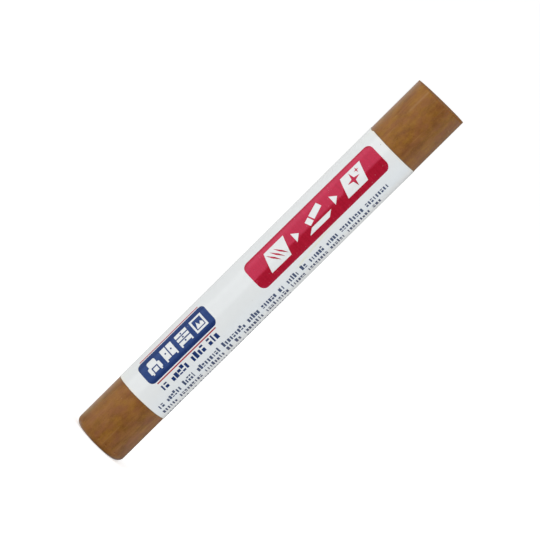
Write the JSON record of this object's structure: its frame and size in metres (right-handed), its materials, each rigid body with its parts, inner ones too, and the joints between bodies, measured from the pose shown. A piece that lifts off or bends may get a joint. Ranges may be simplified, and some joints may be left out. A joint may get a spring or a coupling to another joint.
{
  "type": "furniture repair wax stick",
  "caption": "Round stick of coloured filler wax with a printed film label wrapped round it, for rubbing into scratches in furniture.",
  "frame": {"origin": "centre of the flat foot at the moulded end, which the stick stands on", "axes": "+Z along the stick from the moulded foot to the cut end; the printed front faces -Y; +X is to the right when the front is seen with the foot down"},
  "size_m": [0.0145, 0.0146, 0.1143],
  "materials": {
    "wax": "satin filler wax, light orange brown, with faint streaks along the stick and small pits",
    "adhesive": "clear tacky acrylic adhesive",
    "film": "white gloss label film",
    "red_ink": "solid red print under gloss",
    "navy_ink": "solid navy print under gloss",
    "grey_ink": "small navy-grey print under gloss"
  },
  "bodies": {
    "root": {"wax_stick": "wax", "label_adhesive": "adhesive", "label_film": "film", "red_panel_ink": "red_ink", "navy_panel_ink": "navy_ink", "red_rules_ink": "red_ink", "bold_line_ink": "navy_ink", "front_lines_ink": "grey_ink", "side_lines_ink": "grey_ink"}
  },
  "joints": []
}
